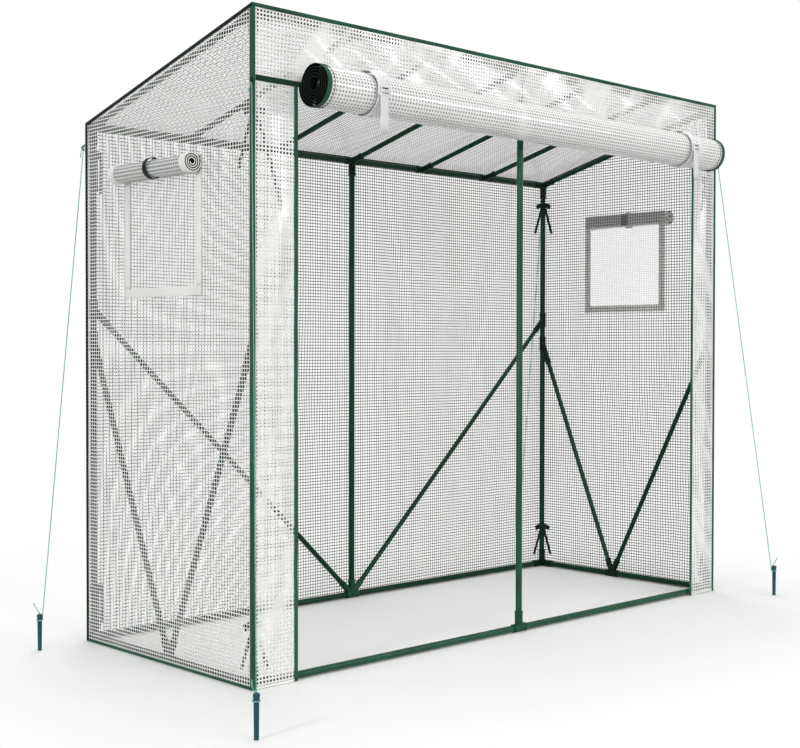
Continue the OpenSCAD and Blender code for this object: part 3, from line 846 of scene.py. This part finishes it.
# White tape, with near-black painted shade on the inner faces and turns.
WHITE_RINGS = (WHITE_TAPE, ROLL_GAP_SHADE, WHITE_TAPE)
flap_turns = spiral(FLAP_TURNS, FLAP_R, FLAP_CORE_R, FLAP_PER_TURN)
for side, word in SIDES:
    def flap_place(s, angle, r, side=side):
        return (side * (FLAP_X - r * math.cos(angle)), s, FLAP_Z - r * math.sin(angle))

    flap_shape = (FLAP_LUMP, [FLAP_PINCH], FLAP_SEED + side)
    lengths = stations((-FLAP_HALF + FLAP_INSET, FLAP_HALF - FLAP_INSET), FLAP_STEP)
    cloth = Cloth().grid(*roll_rows(lengths, flap_turns, flap_place, flap_shape))
    flap = piece(f"flap_roll_{word}", cloth, (FILM_FLAP_SHADED,), "film", ("window_rolls",))
    flap_look = (FLAP_BINDING_T, WHITE_RINGS, "white_tape", FLAP_PER_TURN)
    flap_args = (flap_turns, flap_place, flap_shape, *flap_look)
    for end, place_word in ((-1, "front"), (1, "back")):
        ends = sorted((end * FLAP_HALF, end * (FLAP_HALF - BINDING_W)))
        name = f"flap_binding_{word}_{place_word}"
        binding(name, stations(ends, FLAP_BINDING_STEP), slice(None), *flap_args)

# %% [markdown]
# ## Ribbons
#
# Tape and webbing are ribbons: a path, a direction across it and a rounded flat section. A curve
# with a bevel could do it too, but may twist on the way; here the direction across is given.
# `straight` makes a path between two points that may sway a little.


# %% Ribbon helper
FLAT_SECTION = (
    (-1.0, -0.3), (-0.94, -1.0), (-0.4, -1.0), (0.4, -1.0), (0.94, -1.0),
    (1.0, -0.3), (1.0, 0.3), (0.94, 1.0), (0.4, 1.0), (-0.4, 1.0), (-0.94, 1.0), (-1.0, 0.3),
)
SWAY_SCALE = 9.0


def tangent(path, i):
    ahead = Vector(path[min(i + 1, len(path) - 1)])
    behind = Vector(path[max(i - 1, 0)])
    return (ahead - behind).normalized()


def ribbon(cloth, path, across, width, thick, number=0):
    rows, uvs = [], []
    walked = 0.0
    for i, point in enumerate(path):
        point = Vector(point)
        along = tangent(path, i)
        wide = Vector(across) - along * along.dot(Vector(across))
        wide.normalize()
        up = along.cross(wide)
        if i:
            walked += (point - Vector(path[i - 1])).length
        rows.append([point + wide * (a * width / 2) + up * (b * thick / 2) for a, b in FLAT_SECTION])
        uvs.append([(walked, a * width / 2) for a, b in FLAT_SECTION])
    return cloth.grid(rows, uvs, closed=True, caps=True, number=number)


def straight(start, end, step, wander=0.0, seed=0.0, sideways=UP):
    start, end = Vector(start), Vector(end)
    count = max(2, round((end - start).length / step))
    out = []
    for i in range(count + 1):
        t = i / count
        sway = noise.noise(Vector((t * (end - start).length * SWAY_SCALE, seed, 0.0))) * wander
        out.append(start.lerp(end, t) + Vector(sideways) * sway)
    return out


print("ribbon helper ready")

# %% [markdown]
# ## Edge tapes
#
# A tape folded over an edge has an L section. At each point of the edge two directions, `a` and
# `b`, run away from it along the two faces. The fold itself is rounded, and the width varies a
# little, as sewn tape does. Edges that face away from the light get the darker copy of the tape,
# which is painted shade.

# %% Folded tapes
TAPE_W = 0.009
TAPE_T = 0.0012
TAPE_STEP = 0.02
TAPE_VARIES = 0.10
VARIES_SCALE = 11.0
GABLE_DROP = 0.0003
FOLD_SECTION = (
    (1.0, -1.0), (0.5, -1.0), (0.12, -1.0), (-0.7, -0.7), (-1.0, 0.12), (-1.0, 0.5), (-1.0, 1.0),
    (0.0, 1.0), (0.0, 0.5), (0.02, 0.02), (0.5, 0.0), (1.0, 0.0),
)


def folded_tape(cloth, path, a, b, number=0):
    a, b = Vector(a), Vector(b)
    rows, uvs = [], []
    for i, point in enumerate(path):
        width = TAPE_W * (1.0 + TAPE_VARIES * noise.noise(Vector(point) * VARIES_SCALE))
        row = []
        for p, q in FOLD_SECTION:
            reach_a = p * (width if p > 0 else TAPE_T)
            reach_b = q * (width if q > 0 else TAPE_T)
            row.append(Vector(point) + a * reach_a + b * reach_b)
        rows.append(row)
        uvs.append([(i * TAPE_STEP, 0.0)] * len(row))
    return cloth.grid(rows, uvs, closed=True, caps=True, number=number)


roof_dir = Vector((0.0, math.cos(SLOPE), -math.sin(SLOPE)))
edges = Cloth()
for y, inward in ((-HALF_D, roof_dir), (HALF_D, -roof_dir)):
    path = straight((-HALF_W, y, roof_z(y)), (HALF_W, y, roof_z(y)), TAPE_STEP)
    folded_tape(edges, path, inward, DOWN)
for side in (-1, 1):
    ends = [(side * HALF_W, y, roof_z(y) - GABLE_DROP) for y in (-HALF_D, HALF_D)]
    # The gable edges get the near-black copy: painted shade.
    folded_tape(edges, straight(*ends, TAPE_STEP), (-side, 0, 0), DOWN, number=1)
piece("roof_edge_tape", edges, (TAPE, TAPE_SHADE), "green_tape", ("tape_roof_edges",))

corners = Cloth()
for side, end in CORNERS:
    top = roof_z(end * HALF_D) - TAPE_W
    at = (side * HALF_W, end * HALF_D)
    path = straight((*at, 0.0), (*at, top), TAPE_STEP)
    # The back corners get the near-black copy: painted shade.
    folded_tape(corners, path, (-side, 0, 0), (0, -end, 0), number=0 if end < 0 else 1)
piece("corner_tape", corners, (TAPE, TAPE_SHADE), "green_tape", ("tape_corners",))
print("folded tapes on", len(edges.faces) + len(corners.faces), "faces")

# %% [markdown]
# Flat tapes finish the doorway: one along the header, one down each jamb. A narrow hem runs along
# the ground, green on the sides and the back, white under the strips.

# %% Flat tapes and hems
FLAT_W = 0.012
TAPE_Y = -HALF_D - TAPE_T / 2
HEADER_Z = 1.5
HEADER_W = 0.014
HEADER_HALF = 0.989
JAMB_SWAY = 0.0012
HEM_W = 0.007
HEM_T = 0.001
HEM_SWAY = 0.0015
HEM_STEP = 0.01
header = Cloth()
path = straight((-HEADER_HALF, TAPE_Y, HEADER_Z), (HEADER_HALF, TAPE_Y, HEADER_Z), TAPE_STEP)
ribbon(header, path, UP, HEADER_W, TAPE_T)
# The header tape under the roll gets the darker copy: painted shade.
piece("header_tape", header, (TAPE_HALF_SHADE,), "green_tape", ("tape_header",))
jambs = Cloth()
hems = Cloth()
z = HEM_W / 2
for side in (-1, 1):
    x = side * (STRIP_EDGE + FLAT_W / 2)
    ends = ((x, TAPE_Y, 0.0), (x, TAPE_Y, HEADER_Z - FLAT_W / 2))
    ribbon(jambs, straight(*ends, TAPE_STEP, JAMB_SWAY, side * 3.0, ALONG_X), ALONG_X, FLAT_W, TAPE_T)
    ends = ((side * (HALF_W - TAPE_W), TAPE_Y, z), (side * (STRIP_EDGE + FLAT_W), TAPE_Y, z))
    ribbon(hems, straight(*ends, HEM_STEP, HEM_SWAY, side), UP, HEM_W, HEM_T, number=1)
    x = side * (HALF_W + HEM_T / 2)
    ends = ((x, -HALF_D + TAPE_W, z), (x, HALF_D - TAPE_W, z))
    ribbon(hems, straight(*ends, TAPE_STEP), UP, HEM_W, HEM_T)
ends = ((-HALF_W + TAPE_W, HALF_D + HEM_T / 2, z), (HALF_W - TAPE_W, HALF_D + HEM_T / 2, z))
ribbon(hems, straight(*ends, TAPE_STEP), UP, HEM_W, HEM_T)
piece("jamb_tape", jambs, (TAPE,), "green_tape", ("tape_jambs",))
piece("hems", hems, (TAPE, WHITE_TAPE), "green_tape")
print("flat tapes and hems ready")

# %% [markdown]
# ## Windows
#
# Each window has a border of white tape sewn on the film, and a screen of pale net behind it. The
# lower strip of the border is thicker than the upright ones. The top one is film and wider, and
# the rolled flap hides most of it.

# %% Window borders and screens
BORDER_W = 0.025
BORDER_T = 0.0012
BORDER_OUT = 0.0022
LOW_T = 1.5 * BORDER_T
TOP_W = 0.045
UPRIGHT_SWAY = 0.0012
LOW_SWAY = 0.0022
LOW_STEP = 0.008
TOP_SWAY = 0.001
NET_OVER = 0.004
NET_IN = 0.001
NET_WAVES = 0.5
NET_STEP = 0.02
borders = Cloth()
for side, word in SIDES:
    x = side * (HALF_W + BORDER_OUT)
    y = WINDOW_Y + BORDER_W / 2
    for k in (-1, 1):
        ends = ((x, k * y, WINDOW_LOW), (x, k * y, WINDOW_HIGH))
        path = straight(*ends, STEP, UPRIGHT_SWAY, 4.0 + k + side, ALONG_Y)
        ribbon(borders, path, ALONG_Y, BORDER_W, BORDER_T)
    edge = WINDOW_Y + BORDER_W
    low, high = WINDOW_LOW - BORDER_W / 2, WINDOW_HIGH + TOP_W / 2
    path = straight((x, -edge, low), (x, edge, low), LOW_STEP, LOW_SWAY, 8.0 + side)
    ribbon(borders, path, UP, BORDER_W, LOW_T)
    path = straight((x, -edge, high), (x, edge, high), STEP, TOP_SWAY, 9.0)
    # The top strip is the flap's darker film: painted shade under the roll.
    ribbon(borders, path, UP, TOP_W, BORDER_T, number=1)

    def net_place(u, v, out, side=side):
        return (side * (HALF_W - NET_IN + out * NET_WAVES), u, v)

    us = stations((-WINDOW_Y - NET_OVER, WINDOW_Y + NET_OVER), NET_STEP)
    vs = stations((WINDOW_LOW - NET_OVER, WINDOW_HIGH + NET_OVER), NET_STEP)
    rows, uvs = panel_rows(us, vs, net_place, (), wave=0.003, reach=0.03, seed=41.0 + side)
    cloth = Cloth().grid(rows, uvs)
    outward = (side, 0, 0)
    net = piece(f"screen_net_{word}", cloth, (SCREEN,), "insect_screen", ("window_screens",), outward)
piece("window_border_tape", borders, (WHITE_TAPE, FILM_FLAP_SHADED), "white_tape", ("window_borders",))
print("two windows")

# %% [markdown]
# ## Straps
#
# A webbing strap goes round the door's roll at two places. Its tail hangs from the ladder buckle,
# whose slots are drawn as two dark lines, which are painted shadow in the slots. A dark strap holds
# each window flap, sewn to a patch behind it.
# `ring` walks round an arc, for every loop from here on.


# %% Straps
def ring(centre, radius, first, second, turn_from, turn_to, count):
    centre, first, second = Vector(centre), Vector(first), Vector(second)
    out = []
    for i in range(count + 1):
        angle = turn_from + (turn_to - turn_from) * i / count
        out.append(centre + (first * math.cos(angle) + second * math.sin(angle)) * radius)
    return out


ROUND = (0.0, 2 * math.pi)
LOOP_GAP = 0.02
NEARLY_ROUND = (LOOP_GAP, 2 * math.pi - LOOP_GAP)
STRAP_W = 0.032
STRAP_T = 0.0014
STRAP_R = 0.0580
STRAP_STEPS = 56
TAIL_W = STRAP_W * 0.95
TAIL_ACROSS = (1, 0.1, 0)
TAIL_POINTS = (
    (0.002, -0.0606, 0.012),
    (0.002, -0.0612, -0.010),
    (0.003, -0.0612, -0.035),
    (0.004, -0.0600, -0.060),
    (0.004, -0.0590, -0.085),
    (0.006, -0.0600, -0.106),
)
SLOT_AT = (0.002, -0.0626)
SLOT_SHADOW_LINES = ((0.006, 0.020), (-0.007, 0.028))
SLOT_H = 0.0018
SLOT_T = 0.0006
straps = Cloth()
for x in STRAP_X:
    loop = ring((x, DOOR_AXIS_Y, DOOR_AXIS_Z), STRAP_R, ALONG_Y, UP, *NEARLY_ROUND, STRAP_STEPS)
    ribbon(straps, loop, ALONG_X, STRAP_W, STRAP_T)
    tail = [(x + dx, DOOR_AXIS_Y + dy, DOOR_AXIS_Z + dz) for dx, dy, dz in TAIL_POINTS]
    ribbon(straps, tail, TAIL_ACROSS, TAIL_W, STRAP_T)
    # Dark strips in the buckle's slots: painted shadow.
    for rise, width in SLOT_SHADOW_LINES:
        at = Vector((x + SLOT_AT[0], DOOR_AXIS_Y + SLOT_AT[1], DOOR_AXIS_Z + rise))
        half = Vector((width / 2, 0, 0))
        ribbon(straps, [at - half, at, at + half], UP, SLOT_H, SLOT_T, number=1)
piece("door_strap_webbing", straps, (WEBBING, ROLL_GAP_SHADE), "white_webbing", ("door_straps",))

FLAP_STRAP_R = 0.0276
FLAP_STRAP_W = 0.016
FLAP_STRAP_STEPS = 40
PATCH_OUT = 0.0008
PATCH_HALF = 0.022
PATCH_W = 0.030
PATCH_T = 0.0006
flap_straps = Cloth()
for side in (-1, 1):
    centre, inward = (side * FLAP_X, 0.0, FLAP_Z), (-side, 0, 0)
    loop = ring(centre, FLAP_STRAP_R, inward, UP, *NEARLY_ROUND, FLAP_STRAP_STEPS)
    ribbon(flap_straps, loop, ALONG_Y, FLAP_STRAP_W, STRAP_T)
    x = side * (HALF_W + PATCH_OUT)
    path = straight((x, 0, FLAP_Z - PATCH_HALF), (x, 0, FLAP_Z + PATCH_HALF), PATCH_HALF / 2)
    ribbon(flap_straps, path, ALONG_Y, PATCH_W, PATCH_T)
piece("flap_strap_webbing", flap_straps, (DARK_WEBBING,), "dark_webbing", ("window_straps",))
print("straps:", len(STRAP_X), "on the door, 2 on the flaps")

# %% [markdown]
# ## Ties
#
# Inside, webbing ties hold the cover to the corner posts: a turn round the post, a knot, a bow of
# two loops and two ends. They are tied at two heights on every corner post. On the front left
# post the upper tie has two longer ends, each drawn to a point of its own.

# %% Parts of a tie
BOW_L = 0.026
BOW_R = 0.0045
BOW_RISE = 0.005
BOW_DROP = 0.010
BOW_STEPS = 16
TIE_TAIL = 0.105
TAIL_START = 0.004
TAIL_SPREAD = 0.028
TAIL_WAVE = 0.004
TAIL_CURL = 3.0
TAIL_STEPS = 8
LONG_BEND = 0.8


def tie_bow(knot, across, inward, k):
    bow = []
    for i in range(BOW_STEPS + 1):
        angle = 2 * math.pi * i / BOW_STEPS
        share = (1 - math.cos(angle)) / 2
        at = knot + across * (k * BOW_L * share) + inward * (BOW_R * math.sin(angle))
        bow.append(at + Vector((0, 0, BOW_RISE - BOW_DROP * share * share)))
    return bow


def tie_end(knot, across, inward, k, end_at=None):
    tail = []
    for i in range(TAIL_STEPS + 1):
        t = i / TAIL_STEPS
        if end_at:
            reach = Vector(end_at) - knot
            out = reach * t ** LONG_BEND
            tail.append(knot + Vector((out.x, out.y, reach.z * t)))
        else:
            aside = across * (k * (TAIL_START + TAIL_SPREAD * t))
            swing = aside + inward * (TAIL_WAVE * math.sin(TAIL_CURL * t + k))
            tail.append(knot + swing - Vector((0, 0, TIE_TAIL * t)))
    return tail


print("a tie's end is", TIE_TAIL, "m long")

# %% Cover ties
TIE_W = 0.012
TIE_T = 0.0016
TIE_R = 0.0112
TIE_STEPS = 28
TIE_KNOT_OUT = 0.004
TIE_KNOT_HALF = 0.008
TIE_KNOT_W = 0.013
TIE_KNOT_T = 0.009
BOW_W = 0.016
BOW_LEAN = 0.35
TIE_END_W = TIE_W * 0.85
TIE_END_LEAN = 0.6
TIE_HEIGHTS = {-1: (1.4251, 0.150), 1: (1.3880, 0.150)}
UPPER_TIES = 1.0
LONG_ENDS = {-1: (-0.898, -0.380, 1.180), 1: (-0.990, -0.322, 1.285)}


def tie(cloth, post, inward, long_ends):
    across = Vector((-inward.y, inward.x, 0.0))
    ribbon(cloth, ring(post, TIE_R, inward, across, *ROUND, TIE_STEPS), UP, TIE_W, TIE_T)
    knot = post + inward * (TIE_R + TIE_KNOT_OUT)
    half = across * TIE_KNOT_HALF
    ribbon(cloth, [knot - half, knot, knot + half], UP, TIE_KNOT_W, TIE_KNOT_T)
    for k in (-1, 1):
        bow = tie_bow(knot, across, inward, k)
        ribbon(cloth, bow, Vector(UP) + across * (BOW_LEAN * k), BOW_W, TIE_T)
        tail = tie_end(knot, across, inward, k, long_ends.get(k))
        ribbon(cloth, tail, across + inward * (TIE_END_LEAN * k), TIE_END_W, TIE_T)


ties = Cloth()
for side, end in CORNERS:
    inward = Vector((-side, -end, 0.0)).normalized()
    for z in TIE_HEIGHTS[end]:
        front_left_top = side < 0 and end < 0 and z > UPPER_TIES
        long_ends = LONG_ENDS if front_left_top else {}
        tie(ties, Vector((side * POST_X, end * POST_Y, z)), inward, long_ends)
piece("tie_webbing", ties, (DARK_WEBBING,), "dark_webbing", ("cover_ties",))
print("ties on four posts")

# %% [markdown]
# ## Guy ropes
#
# Each rope is three strands twisted together. A tube with a twisted pattern could stand for it,
# but real strands break up the outline too. The rope runs straight from a knot on the corner tape
# to a loop round its peg, where the spare end sticks out. A tab of webbing holds the knot.

# %% Rope helper
STRAND_R = 0.00085
TWIST_R = 0.0008
TWIST_PITCH = 0.016
STRANDS = 3
ROPE_STEP = 0.004
FINE_STEP = 0.003
COIL_STEPS = 10
ASKEW = Vector((0.31, 0.17, 0.93))
SIX = [(math.cos(i * math.pi / 3), math.sin(i * math.pi / 3)) for i in range(6)]


def square_to(path, i):
    along = tangent(path, i)
    first = along.cross(ASKEW).normalized()
    return first, along.cross(first)


def strand(cloth, path, radius):
    rows, uvs = [], []
    for i, point in enumerate(path):
        first, second = square_to(path, i)
        rows.append([Vector(point) + (first * c + second * k) * radius for c, k in SIX])
        uvs.append([(i * FINE_STEP, c * radius) for c, k in SIX])
    return cloth.grid(rows, uvs, closed=True, caps=True)


def rope(cloth, path, step):
    points = []
    for a, b in zip(path, path[1:]):
        a, b = Vector(a), Vector(b)
        count = max(1, round((b - a).length / step))
        points.extend(a.lerp(b, i / count) for i in range(count))
    points.append(Vector(path[-1]))
    for k in range(STRANDS):
        twisted = []
        for i, point in enumerate(points):
            first, second = square_to(points, i)
            angle = 2 * math.pi * (i * step / TWIST_PITCH + k / STRANDS)
            twisted.append(point + (first * math.cos(angle) + second * math.sin(angle)) * TWIST_R)
        strand(cloth, twisted, STRAND_R)


def coil(cloth, centre, rise, radius, first, second, thick):
    around = ring(centre + Vector((0, 0, rise)), radius, first, second, *ROUND, COIL_STEPS)
    strand(cloth, around, thick)


print("rope of", STRANDS, "strands")

# %% Ropes
GUYS = (
    ((-1, -1), 1.490, (-1.245, -0.726)),
    ((1, -1), 1.490, (1.080, -0.580)),
    ((-1, 1), 1.410, (-1.160, 0.370)),
    ((1, 1), 1.410, (1.245, 0.726)),
)
KNOT_OUT = 0.00424
TOP_COILS = (-0.003, 0.0025)
TOP_COIL_R = 0.0024
TOP_COIL_T = 0.0018
LOOSE_END = ((0.006, 0.002, -0.010), (0.010, 0.0, -0.028))
PEG_LOOP_R = 0.0085
PEG_LOOP_Z = 0.08375
PEG_LOOP_STEPS = 24
PEG_COILS = ((0.004, 0.00231), (0.010, 0.00187))
PEG_COIL_T = 0.0016
SPARE_RISE = 0.012
SPARE_LEAN = 0.002
SPARE_BACK = 0.020
SPARE_ASIDE = 0.010
SPARE_UP = 0.036
SPARE_STEPS = 6
ropes = Cloth()
for (side, end), top_z, (peg_x, peg_y) in GUYS:
    top = Vector((side * (HALF_W + KNOT_OUT), end * (HALF_D + KNOT_OUT), top_z))
    peg = Vector((peg_x, peg_y, PEG_LOOP_Z))
    towards = Vector((top.x - peg_x, top.y - peg_y, 0.0)).normalized()
    aside = Vector((-towards.y, towards.x, 0.0))
    low = peg + towards * PEG_LOOP_R
    rope(ropes, [top, low], ROPE_STEP)
    rope(ropes, ring(peg, PEG_LOOP_R, towards, aside, *ROUND, PEG_LOOP_STEPS), FINE_STEP)
    for rise, radius in PEG_COILS:
        coil(ropes, low, rise, radius, towards, aside, PEG_COIL_T)
    spare = [low, low + Vector((0, 0, SPARE_RISE)) - towards * SPARE_LEAN]
    for i in range(1, SPARE_STEPS + 1):
        t = i / SPARE_STEPS
        at = spare[1] - towards * (SPARE_BACK * t) + aside * (SPARE_ASIDE * math.sin(2 * t))
        spare.append(at + Vector((0, 0, SPARE_UP * t)))
    rope(ropes, spare, FINE_STEP)
    for rise in TOP_COILS:
        coil(ropes, top, rise, TOP_COIL_R, ALONG_X, ALONG_Y, TOP_COIL_T)
    loose = [top + Vector((side * dx, end * dy, dz)) for dx, dy, dz in LOOSE_END]
    rope(ropes, [top, *loose], FINE_STEP)

TAB_OUT = 0.009
TAB_H = 0.018
TAB_W = 0.010
TAB_STEPS = 8
tabs = Cloth()
for (side, end), top_z, _ in GUYS:
    corner = Vector((side * (HALF_W + TAPE_T), end * (HALF_D + TAPE_T), top_z))
    outward = Vector((side, end, 0.0)).normalized()
    loop = []
    for i in range(TAB_STEPS + 1):
        t = i / TAB_STEPS
        out = outward * (TAB_OUT * math.sin(t * math.pi))
        loop.append(corner + out + Vector((0, 0, TAB_H * (t - 0.5))))
    ribbon(tabs, loop, (-outward.y, outward.x, 0.0), TAB_W, TIE_T)
piece("guy_tabs", tabs, (DARK_WEBBING,), "dark_webbing")
piece("guy_rope_strands", ropes, (ROPE,), "guy_rope", ("guy_ropes",))
print("rope faces:", len(ropes.faces))

# %% [markdown]
# ## Light and ground
#
# The picture is a product shot in an even white surround. The world is pure white to the camera,
# in reflections and through the film. As a light it is bright from the upper front left and dim
# from the other side. A picture of a studio could light the scene too, but a plain slope from dim
# to bright is easier to steer.

# %% World
LIGHT_FROM = (-0.35, -0.55, 0.75)
DIM, BRIGHT = 0.20, 0.68

world = bpy.data.worlds.new("surround")
scene.world = world
world.use_nodes = True
sky = Nodes(world.node_tree)
background = sky.tree.nodes["Background"].inputs
background["Color"].default_value = (1.0, 1.0, 1.0, 1.0)
directions = {0: sky.add("ShaderNodeTexCoord", out="Generated"), 1: Vector(LIGHT_FROM).normalized()}
facing = sky.add("ShaderNodeVectorMath", out="Value", operation="DOT_PRODUCT", inputs=directions)
limits = {"Value": facing, "From Min": -1.0, "From Max": 1.0, "To Min": DIM, "To Max": BRIGHT}
surround = sky.add("ShaderNodeMapRange", inputs=limits)
limits = {"Value": sky.shown_rays(), "To Min": surround, "To Max": 1.0}
sky.feed(background["Strength"], sky.add("ShaderNodeMapRange", inputs=limits))
print("world ready")

# %% [markdown]
# A broad key lamp stands high in front. A tall narrow one on the left draws streaks on the film
# and the tubes, a small one at the front right gives glare on the fascia, one lights the roof
# from above, and a fill from behind right keeps the back wall pale.


# %% Lights
def area_light(name, at, towards, size, power):
    data = bpy.data.lights.new(name, "AREA")
    data.shape = "RECTANGLE"
    data.size, data.size_y = size
    data.energy = power
    light = bpy.data.objects.new(name, data)
    light.location = at
    light.rotation_euler = (Vector(towards) - Vector(at)).to_track_quat("-Z", "Y").to_euler()
    scene.collection.objects.link(light)


area_light("key", (-0.6, -5.0, 3.4), (0.1, -0.4, 1.0), (3.2, 2.2), 95.0)
area_light("side", (-4.7, -1.25, 1.4), (-0.4, -0.3, 0.9), (0.5, 2.6), 68.0)
area_light("glare", (3.4, -4.2, 2.5), (0.0, -0.4, 1.3), (1.6, 1.2), 28.0)
area_light("top", (0.4, 0.6, 4.6), (0.0, 0.0, 1.0), (2.6, 2.0), 80.0)
area_light("fill", (3.0, 4.4, 2.6), (0.2, 0.3, 0.9), (2.6, 2.2), 62.0)
print("five lights")

# %% [markdown]
# The floor is a pale disc. It keeps the shadow near the house and fades into white further out,
# so that no horizon shows.

# %% Floor
FLOOR_R = 3.0
FLOOR_Z = -0.001
FADE_FROM, FADE_TO = 1.0, 2.4
UNSEEN_GLOW = 0.25
floor_shade = Shade("floor", (0.90, 0.91, 0.90), 0.7, 0.2)
fx, fy, _ = floor_shade.split(floor_shade.place())
x_square = floor_shade.math("POWER", fx, 2.0)
y_square = floor_shade.math("POWER", fy, 2.0)
reach = floor_shade.math("SQRT", floor_shade.math("ADD", x_square, y_square))
fade = floor_shade.ramp(reach, FADE_FROM, FADE_TO)
limits = {0: floor_shade.shown_rays(), 3: UNSEEN_GLOW, 4: 1.0}
shown = floor_shade.add("ShaderNodeMapRange", inputs=limits)
glow = floor_shade.add("ShaderNodeEmission", inputs={"Color": (1.0, 1.0, 1.0, 1.0), "Strength": shown})
blend = floor_shade.tree.nodes.new("ShaderNodeMixShader")
floor_shade.feed(blend.inputs[0], fade)
floor_shade.feed(blend.inputs[1], floor_shade.bsdf.outputs[0])
floor_shade.feed(blend.inputs[2], glow)
floor_shade.feed(floor_shade.tree.nodes["Material Output"].inputs["Surface"], blend.outputs[0])
at = (0.0, 0.0, FLOOR_Z)
bpy.ops.mesh.primitive_circle_add(vertices=96, radius=FLOOR_R, fill_type="NGON", location=at)
floor = bpy.context.object
floor.name = "floor"
dress(floor, floor_shade.mat)
scene.view_settings.view_transform = "Standard"
print("floor radius", FLOOR_R)
